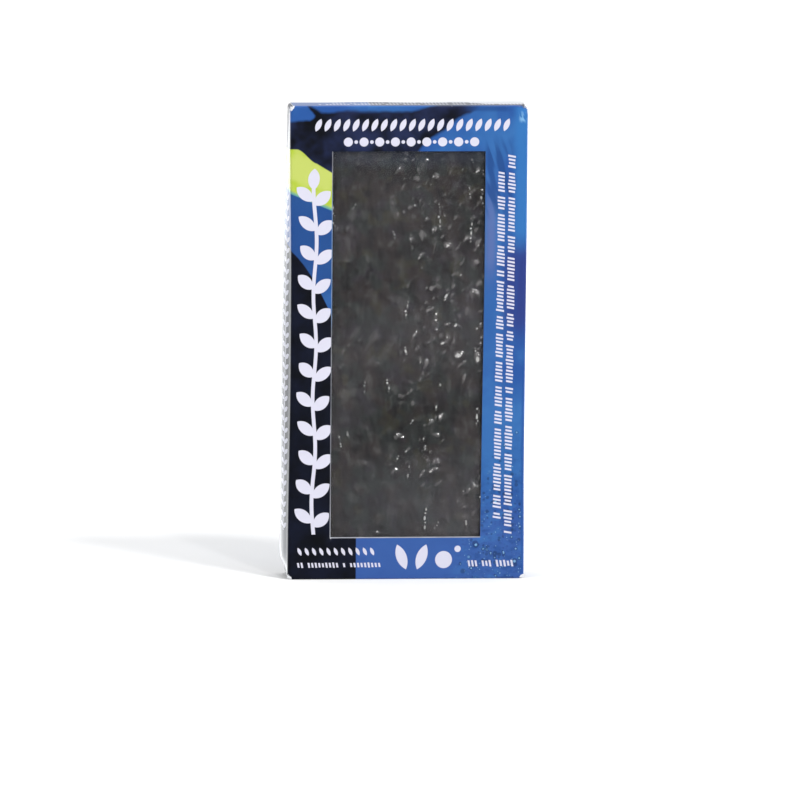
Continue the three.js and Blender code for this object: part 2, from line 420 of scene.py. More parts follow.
def srgb(red, green, blue):
    """A screen colour from 0 to 255, as the linear numbers that a shader takes."""
    def linear(value):
        value /= 255
        return value / 12.92 if value <= 0.04045 else ((value + 0.055) / 1.055) ** 2.4

    return (linear(red), linear(green), linear(blue), 1.0)


# The print's inks, and what shows where it is rubbed
WHITE_INK = srgb(210, 209, 224)
BLUE = srgb(44, 98, 164)
DEEP_BLUE = srgb(34, 80, 152)
SKY_BLUE = srgb(56, 113, 176)
VIOLET_BLUE = srgb(42, 57, 127)
PALE_BLUE = srgb(94, 106, 158)
DARK_BLUE = srgb(28, 70, 132)
EDGE_BLUE = srgb(47, 114, 181)
FOOT_BLUE = srgb(54, 88, 158)
NAVY = srgb(6, 8, 16)
SLATE_NAVY = srgb(30, 40, 76)
LIME = srgb(172, 194, 50)
PALE_LIME = srgb(193, 204, 108)
TEAL = srgb(40, 150, 170)
BUBBLE_BLUE = srgb(132, 184, 222)
SILVER = srgb(118, 122, 136)
SCUFF = srgb(226, 228, 232)

# The board's fibres where it is bare, and the greys, the blue and the rubbed grey of its cut edge
BARE_DARK, BARE_LIGHT = srgb(196, 196, 198), srgb(226, 226, 226)
CUT_DARK, CUT_LIGHT = srgb(104, 106, 114), srgb(130, 132, 140)
CUT_BLUE, CUT_RUBBED = srgb(100, 132, 172), srgb(164, 166, 174)

# The seaweed's tints, its flakes, the painted highlight and painted shade on its blisters' flanks, its
# veils and its painted glints
WEED_BROWN, WEED_GREEN = srgb(36, 29, 27), srgb(27, 34, 32)
WEED_OLIVE, WEED_VIOLET = srgb(45, 42, 25), srgb(39, 33, 43)
FLAKE_DARK, FLAKE_PALE = srgb(12, 11, 11), srgb(75, 73, 72)
FLANK_LIT, FLANK_SHADED = srgb(116, 113, 112), srgb(11, 10, 10)
VEIL_GREY, VEIL_BLUE = srgb(92, 92, 97), srgb(58, 78, 108)
STRING_GREY, GLINT = srgb(104, 104, 104), srgb(224, 224, 220)

# The print, drawn on the flat blank in millimetres: s runs round the pack from the middle of the
# front and t runs up from the base, on over the folds
LEFT_PANEL, RIGHT_PANEL, BACK_PANEL = -41.3, 41.3, 81.8
ROUND_THE_PACK = 163.4

# Fronds: middle s, lowest t, pairs of leaves, their pitch, and how far the stem sways
FRONDS = ((-25.95, 12.6, 12, 8.15, 0.45), (BACK_PANEL, 62.0, 4, 11.6, 1.0))
SIDE_FROND = (5.2, 13.5, 35, 2.95, 0.2)
GREY_FROND = (RIGHT_PANEL, 13.5, 19, 5.4, 0.4)

# Rows of leaves: lowest s, count, middle t, pitch, length, width and lean of a leaf in degrees
LEAF_ROWS = (
    (-26.4, 21, 126.6, 2.6, 3.8, 1.55, 24),
    (-30.6, 11, 7.8, 2.02, 2.4, 0.95, -24),
    (BACK_PANEL - 26.0, 20, 123.0, 2.6, 3.5, 1.4, 24),
)

# Single leaves: s, t, length, width and lean. Discs: s, t and radius
LEAVES = ((-1.2, 6.2, 7.4, 2.9, -20), (4.4, 6.2, 7.4, 2.9, 20))
DISCS = ((10.6, 5.4, 2.4), (14.6, 8.4, 0.9), (LEFT_PANEL, 7.0, 3.4), (RIGHT_PANEL, 7.0, 3.4))

# A row of large and small discs: lowest s, count, middle t, pitch and both radii
DISC_ROW = (-19.0, 9, 121.9, 4.35, 1.25, 0.5)

# Lines of strokes: where each starts, how many strokes, its middle, half its height and its seed
UPRIGHT_LINES = ((16.7, 99, 25.5, 1.15, 3.0), (12.5, 108, 28.5, 1.15, 9.0))
LEVEL_LINES = (
    (-30.4, 24, 4.0, 0.75, 5.0),
    (17.4, 13, 4.3, 0.95, 7.0),
    (-25.0, 58, 136.4, 1.3, 11.0),
    (-21.0, 46, 141.0, 1.3, 14.5),
    (-24.0, 50, -4.0, 0.7, 12.0),
    *((BACK_PANEL - 24.5, (50, 50, 34)[i % 3], 47.5 - 4.2 * i, 0.9, 13.0 + i) for i in range(9)),
)
STROKE_PITCH = 0.98
STROKE_GROUP = 7

# The frame on the back: half its width, its lowest and highest t, and half its line
BACK_FRAME = (26.5, 9.0, 52.0, 0.16)

# Bubbles: size, how dark their bodies are, and the share of the places that have one
BUBBLES = ((0.62, 0.125, 0.5), (1.1, 0.4, 0.36), (1.8, 0.4, 0.2))


def leaf(x, y, length, width, turn):
    """Signed distance to a pointed leaf about 0, 0 that leans to the right by that angle."""
    along = x * math.sin(turn) + y * math.cos(turn)
    across = (x * math.cos(turn) - y * math.sin(turn)).abs()
    radius = (length**2 + width**2) / (4 * width)
    reach = across + (radius - width / 2)
    return (reach * reach + along * along).root() - radius


def disc(x, y, radius):
    return (x * x + y * y).root() - radius


def between(value, low, high):
    return (value - (low + high) / 2).abs() - (high - low) / 2


def frond(s, t, middle, low, repeats, pitch, swing):
    """A swaying stem with a pair of leaves at each repeat and one at its tip."""
    high = low + repeats * pitch
    x = s - middle - (t * (2 * math.pi / 29)).sin() * swing
    y = (t - low).wrapped(pitch)
    length, width, lean = 0.73 * pitch, 0.4 * pitch, math.radians(50)
    offset = 0.5 * length * math.sin(lean) + 0.2
    right = leaf(x - offset, y, length, width, lean)
    left = leaf(x + offset, y - 0.14 * pitch, length, width, -lean)
    stem = x.abs() - 0.065 * pitch
    tip = leaf(x, t - high - 0.2 * length, length, width, 0.0)
    return right.least(left).least(stem).most(between(t, low, high)).least(tip)


def leaf_row(s, t, low, count, middle_t, pitch, length, width, turn):
    x = (s - low).wrapped(pitch)
    shape = leaf(x, t - middle_t, length, width, math.radians(turn))
    return shape.most(between(s, low, low + count * pitch))


def disc_row(s, t, low, count, middle_t, pitch, large, small):
    """Large and small discs in turn, with a large one at each end."""
    big = disc((s - low).wrapped(pitch), t - middle_t, large)
    little = disc((s - low - pitch / 2).wrapped(pitch), t - middle_t, small)
    gap = small + 0.05
    return big.least(little).most(between(s, low + gap, low + count * pitch - gap))


def strokes(shader, along, across, low, count, middle, half_height, seed):
    """A line of short slanting strokes in groups of uneven length."""
    number = ((along - low) / STROKE_PITCH).floor()
    first = (number / STROKE_GROUP).floor() * STROKE_GROUP
    gap_at = first + (shader.random(first + seed + 50) * (STROKE_GROUP - 1)).floor()
    gap = 0.8 - (number - gap_at).abs()
    height = (shader.random(number + seed) * 0.28 + 0.72) * half_height
    slanted = (along - low).wrapped(STROKE_PITCH) + (across - middle) * 0.18
    stroke = slanted.abs() - 0.27 * STROKE_PITCH
    ends = between(along, low, low + count * STROKE_PITCH)
    return stroke.most((across - middle).abs() - height).most(ends).most(gap)


def ornaments(shader, s, t):
    """Signed distance to everything that is printed in white."""
    shapes = [frond(s, t, *row) for row in FRONDS]
    shapes += [frond((s - panel).abs(), t, *SIDE_FROND) for panel in (LEFT_PANEL, RIGHT_PANEL)]
    shapes += [leaf_row(s, t, *row) for row in LEAF_ROWS]
    shapes += [leaf(s - x, t - y, *size, math.radians(turn)) for x, y, *size, turn in LEAVES]
    shapes += [disc(s - x, t - y, radius) for x, y, radius in DISCS]
    shapes.append(disc_row(s, t, *DISC_ROW))
    shapes += [strokes(shader, t, s, *row) for row in UPRIGHT_LINES]
    shapes += [strokes(shader, s, t, *row) for row in LEVEL_LINES]
    half, low, high, line = BACK_FRAME
    box = ((s - BACK_PANEL).abs() - half).most(between(t, low, high))
    shapes.append(box.abs() - line)
    return functools.reduce(Field.least, shapes)


def blue_water(shader, s, t, w, cloud):
    """The blues of the right side, the foot and the back, with streaks and shafts of light."""
    drift = shader.noise(shader.vector(s, t, 0.0), 26.0, 2.0)
    shafts = shader.noise(shader.vector(s, t * 0.14, 3.0), 4.2, 2.0)
    streaks = shader.noise(shader.vector(s + t * 0.35, t * 0.12, 8.0), 1.9, 1.0).step(0.42, 0.58)
    streaks = streaks * t.near(112, 13, 6) * s.step(20.5, 22) * s.step(30, 27)
    violet = t.near(81, 17, 7) * s.step(24, 29) * s.step(62, 42)
    foot = t.step(26, 12) * w.step(-16, -14) * s.step(60, 50)
    shallows = w.below(-21, 0.2) * t.step(76, 84) * t.step(120, 116)
    return shader.coat(
        BLUE,
        (drift.step(0.38, 0.6), DEEP_BLUE),
        (cloud.step(0.46, 0.7) * 0.55, SKY_BLUE),
        (s.near(23.4, 5.0, 0.5) * 0.3, SKY_BLUE),
        (s.near(22.6, 2.4, 0.3) * t.near(96, 20, 4) * 0.65, PALE_BLUE),
        (s.near(21.5, 5.0, 1.5) * t.near(74, 16, 6) * 0.45, DEEP_BLUE),
        (violet * 0.95, VIOLET_BLUE),
        (streaks * 0.85, DARK_BLUE),
        (shafts.step(0.55, 0.72) * t.step(40, 110) * 0.5, DEEP_BLUE),
        (t.step(119, 122) * w.step(-12, -18) * 0.7, DEEP_BLUE),
        (foot * 0.8, FOOT_BLUE),
        (shallows * 0.8, DARK_BLUE),
    )


def waves(shader, colour, t, w, cloud):
    """A navy wave along the top and over the lid, a lime crest, and navy at the lower left."""
    ripple = cloud - 0.5
    fade = w.step(-80, -52)
    patch_right = ripple * 2 - (t - 129.3).most(0.0) * 0.85 - 25.9
    patch_low = 127.6 - ripple * 2 + (w + 27.5).most(0.0) * 0.6
    patch = t.above(patch_low, 0.5) * w.below(patch_right, 0.5) * w.above(-33.5, 0.3)
    underside = w.above(-21, 0.5) * 6.4 + 112.0 + (1 - fade) * 19
    top_edge = 132.2 - w.step(-28, -23.5) * w.step(10, -1) * 1.9 + ripple * 3
    brow = t.above(underside, 0.3) * t.below(top_edge, 0.6)
    tail = w.below((t - 120) * 1.25 + ripple * 9 + 3.8, 1.2)
    edging = t.above(130.4, 0.5) * w.step(14, 19) * w.step(29, 26)
    swell = (w * 0.24 + 1).sin() * 0.7 + (w * 0.11).sin() * 0.8
    lid = t.step(131.9, 132.6) * (w + swell * 2).near(10, 24, 23)
    # Paler along the lid's back edge
    pale_lid_back = t.above(143 - w.step(15, 23) * 5 - swell, 0.15) * t.step(HEIGHT, HEIGHT + 1)

    crest_low = 107.6 - (w + 33) * 0.4
    crest_high = 119.9 - w.step(-31.2, -25.2) * 4.0 - (w + 25.5).most(0.0) * 0.6
    crest = t.above(crest_low, 0.2) * t.below(crest_high, 0.2) * w.above(-54, 0.2) * w.below(-14, 0.2)
    rim = (t - crest_low).step(1.3, 0.1)
    lime = shader.coat(LIME, (cloud.step(0.4, 0.6) * 0.8, PALE_LIME), (rim * 0.75, TEAL))

    inward = w + 32.7
    depth = (91.5 - inward * 0.9 - inward * inward * 0.055) * fade
    return shader.coat(
        colour,
        (brow * tail * (1 - patch), shader.coat(NAVY, (cloud.step(0.34, 0.66), SLATE_NAVY))),
        (edging * 0.75, DARK_BLUE),
        (lid * 0.9, NAVY),
        (pale_lid_back * 0.9, SCUFF),
        (crest, lime),
        (
            t.below(depth, 0.3) * w.below(-13.9, 0.12),
            shader.coat(NAVY, (cloud.step(0.3, 0.7) * 0.25, SLATE_NAVY)),
        ),
    )


def bubbles(shader, colour, s, t):
    """Moving water and bubbles that rise at the lower right."""
    low_right = t.step(50, 16) * (s - t * 0.25).step(9.0, 18.0)
    water = shader.noise(shader.vector(s, t * 1.6, 2.0), 3.2, 2.0)
    colour = shader.coat(
        colour,
        (water.step(0.5, 0.66) * low_right * 0.5, DARK_BLUE),
        (water.step(0.46, 0.34) * low_right * 0.4, SKY_BLUE),
    )
    for size, dark, share in BUBBLES:
        gap, chance = shader.cells(shader.vector(s, t, 0.0), size)
        shown = (low_right * share + chance - 1.0).step(0.0, 0.08)
        sunlit = (chance * 37).wrapped(1.0).above(0.0, 0.1)
        colour = shader.coat(
            colour,
            (gap.below(0.48, 0.1) * shown * dark, NAVY),
            (gap.below(0.2, 0.08) * shown * sunlit * 0.85, BUBBLE_BLUE),
        )
    return colour


def print_colour(shader, s, t):
    """Colour fields: waves in blues, navy and lime that run on round the corners, and bubbles."""
    w = s - s.above(BACK_PANEL, 0.01) * ROUND_THE_PACK
    cloud = shader.noise(shader.vector(s, t, 0.0), 10.0, 3.0, 0.55)
    colour = waves(shader, blue_water(shader, s, t, w, cloud), t, w, cloud)
    colour = bubbles(shader, colour, s, t)
    side_frond = frond(s.abs(), t, *GREY_FROND).inside(0.1)
    upper_fold = s.near(32.2, 4.0, 1.5) * t.above(94, 4) * t.step(131.8, 131.2)
    rubbed = shader.noise(shader.vector(s + t * 0.4, t * 0.3, 5.0), 0.7, 1.0).step(0.42, 0.62)
    return shader.coat(
        colour,
        (side_frond * 0.75, SILVER),
        # Painted shade: darker blue along the right front fold, below the middle
        (s.near(33.2, 1.4, 0.9) * t.below(62, 4) * 0.7, DEEP_BLUE),
        (upper_fold * 0.8, EDGE_BLUE),
        (rubbed * s.near(31.6, 1.5, 0.4) * t.near(128.8, 2.0, 0.6) * 0.8, BUBBLE_BLUE),
    )


def printed_board():
    shader = Shader("printed_board")
    place, (s, t) = shader.blank_mm()
    fibres = shader.noise(place, 0.5, 3.0, 0.6)
    grain = shader.noise(place, 1.4, 2.0)
    scuff = (shader.number("wear") + (fibres - 0.5) * 0.5).step(0.5, 0.6)
    ink = shader.coat(WHITE_INK, (s.abs().near(RIGHT_PANEL, 8.2, 7.4) * 0.5, SILVER))
    colour = shader.coat(
        print_colour(shader, s, t),
        (ornaments(shader, s, t).inside(0.09), ink),
        (scuff, SCUFF),
    )
    return shader.finished(
        Base_Color=colour,
        Roughness=grain * 0.1 + scuff * 0.35 + 0.27,
        Coat_Weight=0.3,
        Coat_Roughness=0.12,
        Specular_IOR_Level=0.3,
        Normal=shader.bump(grain + fibres * 0.4, 0.012),
    )


def bare_board(name, dark, light, cut=False):
    """Matt, fibrous board. A cut edge is tinted by the print that it borders, rubbed unevenly and paler
    low down, at the window's sill.
    """
    shader = Shader(name)
    place, (_, t) = shader.blank_mm()
    fibres = shader.noise(place, 0.5, 3.0, 0.6)
    colour = shader.coat(dark, (fibres.step(0.3, 0.7), light))
    if cut:
        # Paler in uneven patches, and paler still low down at the window's sill
        rubbed = shader.noise(place, 5.0, 2.0).step(0.45, 0.65) * 0.3 + t.below(22, 8) * 0.6
        tinted = t.above(71, 3) * t.below(108, 2) * 0.8
        colour = shader.coat(colour, (tinted, CUT_BLUE), (rubbed, CUT_RUBBED))
    return shader.finished(
        Base_Color=colour,
        Roughness=0.85,
        Specular_IOR_Level=0.2,
        Normal=shader.bump(fibres, 0.03),
    )


def clear_film():
    shader = Shader("clear_film")
    place, _ = shader.place_mm()
    haze = shader.noise(place, 30.0, 1.0).step(0.3, 0.7)
    return shader.finished(
        Base_Color=shader.coat(srgb(100, 98, 102), (haze, srgb(172, 168, 174))),
        Roughness=0.2,
        Alpha=0.03,
        Normal=shader.bump(shader.noise(place, 9.0, 1.0), 0.3),
    )


def seaweed(name, gloss):
    shader = Shader(name)
    place, (x, y, z) = shader.place_mm()
    broad = shader.noise(place, 7.5, 2.0)
    tint = shader.noise(place, 4.6, 1.0)
    flakes = shader.noise(shader.vector(x, y, z * 0.6), 3.0, 2.0, 0.55)
    lit = shader.number("lit")
    # Paler towards the foot and across the middle. Bluish under the top of the window, a band that is
    # also painted light lifting the shadow cast by the window's top edge
    veil = (z.step(44, 14) * 0.24 + z.near(67.7, 16, 3) * 0.1) * (x * 0.014 + 0.95)
    veil = veil + x.near(1, 10, 3) * z.near(27, 13, 5) * 0.1
    # Strings of beads with a painted glint on each bead, each of its own size, and painted glints on the
    # blisters' lit flanks and crests
    across, along, strength = shader.split(shader.attribute("beads").outputs["Vector"])
    stretch = shader.random((along / STRING_STEP).floor() + 77) * 0.6 + 0.35
    along = along + (along * 2.3).sin() * 0.25
    size = shader.random((along / BEAD_PITCH).floor())
    beside = along.wrapped(BEAD_PITCH) * stretch
    across = across + (size - 0.5) * 0.7
    gap = (across * across + beside * beside).root()
    # A painted glint on each bead
    beads = (gap - size * 0.16).step(0.22, 0.02) * strength * size.step(0.12, 0.3) * (size * 0.7 + 0.3)
    nearest, chance = shader.cells(shader.vector(x, y, z * 0.8), 0.8)
    flank_glints = nearest.step(0.45, 0.15) * lit.step(0.4, 0.8) * chance.step(0.55, 0.7) * chance
    crest_glints = lit.step(0.6, 0.95) * shader.noise(place, 2.2, 1.0).step(0.48, 0.58) * 0.62
    colour = shader.coat(
        WEED_BROWN,
        (broad.step(0.42, 0.56), WEED_GREEN),
        (tint.step(0.58, 0.68) * 0.7, WEED_OLIVE),
        (tint.step(0.42, 0.32) * 0.6, WEED_VIOLET),
        (flakes.step(0.5, 0.35) * (z.step(78, 94) * 0.15 + 0.8), FLAKE_DARK),
        (flakes.step(0.54, 0.7) * 0.5, FLAKE_PALE),
        # Painted highlight and painted shade on the blisters' flanks and in the pits
        (lit.step(0.0, 0.85) * 0.6, FLANK_LIT),
        (shader.number("shaded") * 0.85, FLANK_SHADED),
        (veil, VEIL_GREY),
        # A bluish tint that is also painted light: it lifts the shadow under the window's top edge
        (z.step(113, 120) * 0.3, VEIL_BLUE),
        (across.abs().step(0.55, 0.1) * strength * 0.3, STRING_GREY),
        # Painted glints, in a near white
        (beads.most(flank_glints).most(crest_glints), GLINT),
    )
    wrinkles = shader.noise(shader.vector(x, y, z * 0.5), 2.6, 1.0, 0.4)
    normal = shader.bump(wrinkles * 0.9 + gap.step(0.6, 0.0) * strength * 0.4, 0.4)
    return shader.finished(
        Base_Color=colour,
        Roughness=0.5,
        Coat_Weight=gloss,
        Coat_Roughness=0.15,
        Specular_IOR_Level=0.4,
        Normal=normal,
        Coat_Normal=normal,
    )


# The carton: one blank, folded


def bow_at(z):
    """How far the contents push a side panel out at a height, from 0 to 1."""
    rise = smoothstep(z, TUBE_LOW, BOW_RISE)
    climb = np.clip((z - BOW_PEAK) / (TUBE_TOP - BOW_PEAK), 0, 1)
    return rise * (1 - climb**3)


def wrap(s):
    """x and y of the outer face round the tube, before it swells."""
    right = s >= 0
    run = np.abs(s)
    back_fold = np.where(right, FOLD, GLUE_FOLD)
    back_y = np.where(right, HALF_D, GLUE_Y)
    flat = back_y + HALF_D - FOLD - back_fold
    side_end = SIDE_START + flat
    back_start = side_end + back_fold * QUARTER
    turn = np.clip((run - CREASE) / FOLD, 0, QUARTER)
    x = np.minimum(run, CREASE) + FOLD * np.sin(turn)
    y = -HALF_D + FOLD * (1 - np.cos(turn)) + np.clip(run - SIDE_START, 0, flat)
    turn = np.clip((run - side_end) / back_fold, 0, QUARTER)
    x = x - back_fold * (1 - np.cos(turn)) - np.maximum(run - back_start, 0)
    y = np.where(run > side_end, back_y - back_fold * (1 - np.sin(turn)), y)
    return np.where(right, x, -x), y


def panel_swell(x, z):
    """How far a wide panel swells at a place, from 0 to 1: none at its folds."""
    across = np.clip(1 - (x / CREASE) ** 4, 0, 1)
    return across * smoothstep(z, 2, 34) * smoothstep(HEIGHT - z, 2, 34)


def place_body(s, t):
    """The outer face of the four panels."""
    x, y = wrap(s)
    z = np.clip(t, TUBE_LOW, TUBE_TOP)
    on_side = np.abs(x) > CREASE
    across = np.clip(y / (HALF_D - FOLD), -1, 1)
    left_waist = LEFT_WAIST * smoothstep(z, 8, 60) * smoothstep(HEIGHT - z, 6, 50)
    right_waist = RIGHT_WAIST * smoothstep(z, 6, 30) * smoothstep(HEIGHT - z, 30, 95)
    waist = np.where(x < 0, left_waist, -right_waist) * smoothstep(np.abs(x), WINDOW_HALF + 1, CREASE)
    bow = np.where(x < 0, -LEFT_BOW * bow_at(z) - left_waist, RIGHT_BOW * bow_at(z))
    shift = waist + np.where(on_side, bow * (1 - across**2), 0)
    on_front = (y < 0) & ~on_side
    trim = smoothstep(x, 6, WINDOW_HALF) * smoothstep(CREASE - x, 0, 8)
    shift = shift + WINDOW_LEAN * np.sin((z - 55) / 48 * QUARTER) * trim * on_front
    bulge = FACE_SWELL * (0.8 + 0.2 * value_noise(x / 23, z / 31, 4))
    bulge = bulge + 0.05 * value_noise(x / 9, z / 14, 8)
    y = y + np.where(on_side, 0, np.sign(y) * bulge * panel_swell(x, z))
    return np.stack([x + shift, y, t], -1)


def from_middle(t):
    """The height as if it were in the upper half, since both ends fold alike."""
    return np.abs(t - HEIGHT / 2) + HEIGHT / 2


def place_closure(s, t):
    """The front panel's extensions: over the fold, across the pack and down inside its back."""
    up = from_middle(t)
    turn = np.clip((up - CLOSURE_START) / CLOSURE_FOLD, 0, QUARTER)
    run = up - CLOSURE_START - CLOSURE_ARC
    back = np.clip((run - CLOSURE_ACROSS) / TIGHT_FOLD, 0, QUARTER)
    down = np.maximum(run - CLOSURE_ACROSS - TIGHT_ARC, 0)
    y = -HALF_D + CLOSURE_FOLD * (1 - np.cos(turn)) + np.clip(run, 0, CLOSURE_ACROSS)
    y = y + TIGHT_FOLD * np.sin(back)
    z = np.minimum(up, CLOSURE_START) + CLOSURE_FOLD * np.sin(turn)
    z = z - TIGHT_FOLD * (1 - np.cos(back)) - down
    return np.stack([s, y, np.where(t > HEIGHT / 2, z, HEIGHT - z)], -1)


def place_dust(s, t):
    """The side panels' extensions, folded in under the closures."""
    up = from_middle(t)
    x, y = wrap(s)
    turn = np.clip((up - TUBE_TOP) / TIGHT_FOLD, 0, QUARTER)
    run = np.maximum(up - TUBE_TOP - TIGHT_ARC, 0)
    reach = np.abs(x) - TIGHT_FOLD * (1 - np.cos(turn)) - run
    taper = 1 - 0.22 * np.clip(run / DUST_LENGTH, 0, 1) ** 2
    z = np.where(up > TUBE_TOP, TUBE_TOP + TIGHT_FOLD * np.sin(turn), up)
    return np.stack([np.sign(x) * reach, y * taper, np.where(t > HEIGHT / 2, z, HEIGHT - z)], -1)


class Blank:
    """The flat sheet of board as a grid of cells, whose corners are kept by their place on it."""

    def __init__(self):
        self.number = {}
        self.flat = []
        self.kinds = []
        self.cells = []
        self.rims = []

    def corner(self, s, t, kind):
        key = (round(s, 4), round(t, 4))
        if key not in self.number:
            self.number[key] = len(self.flat)
            self.flat.append(key)
            self.kinds.append(kind)
        return self.number[key]

    def patch(self, s_lines, t_lines, kind, keep=lambda s, t: True):
        spans = itertools.product(itertools.pairwise(s_lines), itertools.pairwise(t_lines))
        for (s0, s1), (t0, t1) in spans:
            s, t = (s0 + s1) / 2, (t0 + t1) / 2
            if keep(s, t):
                corners = [(s0, t0), (s1, t0), (s1, t1), (s0, t1)]
                self.cells.append([self.corner(*c, kind) for c in corners])
                self.rims.append(on_rim(s, t))


# Kinds of corner and the board's material slots
BODY, CLOSURE, DUST = 0, 1, 2
PRINTED, BARE, CUT = 0, 1, 2


def on_rim(s, t):
    return -WINDOW_HALF - RIM_WIDTH < s < WINDOW_HALF and SILL - RIM_WIDTH < t < LINTEL


def body_keep(s, t):
    if s < -GLUE_START:
        return GLUE_CLEAR < t < HEIGHT - GLUE_CLEAR
    return abs(s) > WINDOW_HALF or not SILL < t < LINTEL


def folded_blank():
    blank = Blank()
    around = spread(
        -GLUE_START - GLUE_FLAP, 7, -GLUE_START, 5, -LEFT_END, 12, -SIDE_START, 5,
        -CREASE, 3, -CREASE + 2, 7, -WINDOW_HALF - RIM_WIDTH, 1, -WINDOW_HALF, 30,
        WINDOW_HALF, 7, CREASE - 2, 3, CREASE, 5,
        SIDE_START, 12, SIDE_END, 5, BACK_START, 36, BACK_END,
    )
    up = spread(TUBE_LOW, 5, 6.0, 4, SILL - RIM_WIDTH, 1, SILL, 72, LINTEL, 7, TUBE_TOP)
    blank.patch(around, up, BODY, body_keep)
    top = spread(
        TUBE_TOP, 1, CLOSURE_START, 7, CLOSURE_START + CLOSURE_ARC, 12, CLOSURE_BACK, 5,
        TUCK_START, 8, TUCK_START + TUCK_LENGTH,
    )
    dust_bend = TUBE_TOP + TIGHT_ARC
    dust = spread(TUBE_TOP, 5, dust_bend, 8, dust_bend + DUST_LENGTH)

    def lines_between(low, high):
        return [v for v in around if low - TOLERANCE <= v <= high + TOLERANCE]

    posts = ((-SIDE_START, -CREASE), (CREASE, SIDE_START), (SIDE_END, BACK_START))
    for lines, kind, ends in (
        (lines_between(-CREASE, CREASE), CLOSURE, top),
        (lines_between(SIDE_START, SIDE_END)[1:-1], DUST, dust),
        (lines_between(-LEFT_END, -SIDE_START)[1:-1], DUST, dust),
        (lines_between(BACK_START, BACK_END), BODY, [TUBE_TOP, HEIGHT - PANEL_REACH]),
        *((lines_between(*ends), BODY, [TUBE_TOP, HEIGHT - POST_REACH]) for ends in posts),
    ):
        blank.patch(lines, ends, kind)
        blank.patch(lines, [HEIGHT - v for v in reversed(ends)], kind)
    return blank


def crush(points):
    """Softens the pack's corners, the front upper right one most."""
    for sx, sy, end in itertools.product((-1, 1), (-1, 1), (0, 1)):
        amount, reach = WORST_CRUSH if (sx, sy, end) == (1, -1, 1) else OTHER_CRUSH
        corner = np.array([sx * HALF_W, sy * HALF_D, end * HEIGHT])
        pull = np.array([-sx, -0.6 * sy, 1 - 2 * end]) * amount
        gap = np.linalg.norm(points - corner, axis=1)
        points = points + pull * smoothstep(gap, reach, 0)[:, None] ** 2
    return points


def corner_wear(points):
    """How rubbed the print is, from 0 to 1: the corners most, though less so the upper right one in
    front, and a little along the folds."""
    x, y, z = points.T
    depths = (HALF_W - np.abs(x), HALF_D - np.abs(y), HEIGHT / 2 - np.abs(z - HEIGHT / 2))
    nearest = np.sort(np.maximum(np.stack(depths, -1), 0), axis=1)
    corner = np.linalg.norm(nearest, axis=1)
    corner = np.where((x > 0) & (y < 0) & (z > HEIGHT / 2), corner + 1.3, corner)
    crease = np.hypot(nearest[:, 0], nearest[:, 1])
    along_folds = np.where((y < 0) & (z > HEIGHT - 1.5), 0.46, 0.36) * smoothstep(crease, 0.9, 0.1)
    return np.maximum(0.95 * smoothstep(corner, WORN_REACH, 0.5), along_folds)


def outline_strips(cells, count):
    """Faces that join the outer and the inner skin along every free edge of the blank."""
    directed = {(a, b) for cell in cells for a, b in zip(cell, cell[1:] + cell[:1])}
    free = sorted((a, b) for a, b in directed if (b, a) not in directed)
    return [[b, a, count + a, count + b] for a, b in free]


def build_carton():
    blank = folded_blank()
    flat, kinds = np.array(blank.flat), np.array(blank.kinds)
    s, t = flat[:, 0], flat[:, 1]
    up = from_middle(t)
    past_tube = up > TUBE_TOP + TOLERANCE
    tuck = np.clip((up - TUCK_START) / TUCK_LENGTH, 0, 1)
    narrowing = 0.035 * np.clip(tuck * 6, 0, 1) + 0.65 * np.maximum(tuck - 0.55, 0) ** 2

    def place(s, t):
        closure = place_closure(s * (1 - narrowing), t)
        points = np.where(((kinds == CLOSURE) & past_tube)[:, None], closure, place_body(s, t))
        return np.where(((kinds == DUST) & past_tube)[:, None], place_dust(s, t), points)

    step = 0.01
    outer = place(s, t)
    normal = np.cross(place(s + step, t) - place(s - step, t), place(s, t + step) - place(s, t - step))
    normal /= np.linalg.norm(normal, axis=1)[:, None]
    on_cut = (np.abs(s) < WINDOW_HALF - TOLERANCE) & (np.abs(t - SILL) < TOLERANCE)
    beside_cut = (t > SILL - TOLERANCE) & (t < LINTEL - TOLERANCE)
    on_cut |= (np.abs(s + WINDOW_HALF) < TOLERANCE) & beside_cut
    inner = outer - normal * BOARD
    outer = outer - normal * np.where(on_cut, RIM_DROP, 0)[:, None]
    count = len(flat)
    points = crush(np.concatenate([outer, inner]))

    bare = (up > TUCK_START + 2) | (s < -GLUE_START)
    faces = [list(cell) for cell in blank.cells]
    slots = [CUT if rim else int(bare[cell].all()) for cell, rim in zip(blank.cells, blank.rims)]
    faces += [[count + i for i in reversed(cell)] for cell in blank.cells]
    slots += [BARE] * len(blank.cells)
    strips = outline_strips(blank.cells, count)
    window_edge = (np.abs(s) < WINDOW_HALF + 1) & (t > SILL - 1) & (t < LINTEL + 1)
    inked = (s > CREASE - TOLERANCE) & (s < SIDE_START + TOLERANCE) & (t > TUBE_TOP)
    faces += strips
    slots += [CUT if window_edge[a] else PRINTED if inked[a] else BARE for a, *_ in strips]

    materials = [
        printed_board(),
        bare_board("raw_board", BARE_DARK, BARE_LIGHT),
        bare_board("cut_board", CUT_DARK, CUT_LIGHT, cut=True),
    ]
    piece = add_mesh("carton_board", points, faces, materials, face_slots=slots)
    flat_mm = np.stack([s, t, 0 * s], -1)
    add_values(piece, "blank_mm", [flat_mm, flat_mm], "FLOAT_VECTOR")
    add_values(piece, "wear", corner_wear(points))
    piece.data.set_sharp_from_angle(angle=math.radians(38))
    settle(piece, "carton")


# The film and the seaweed


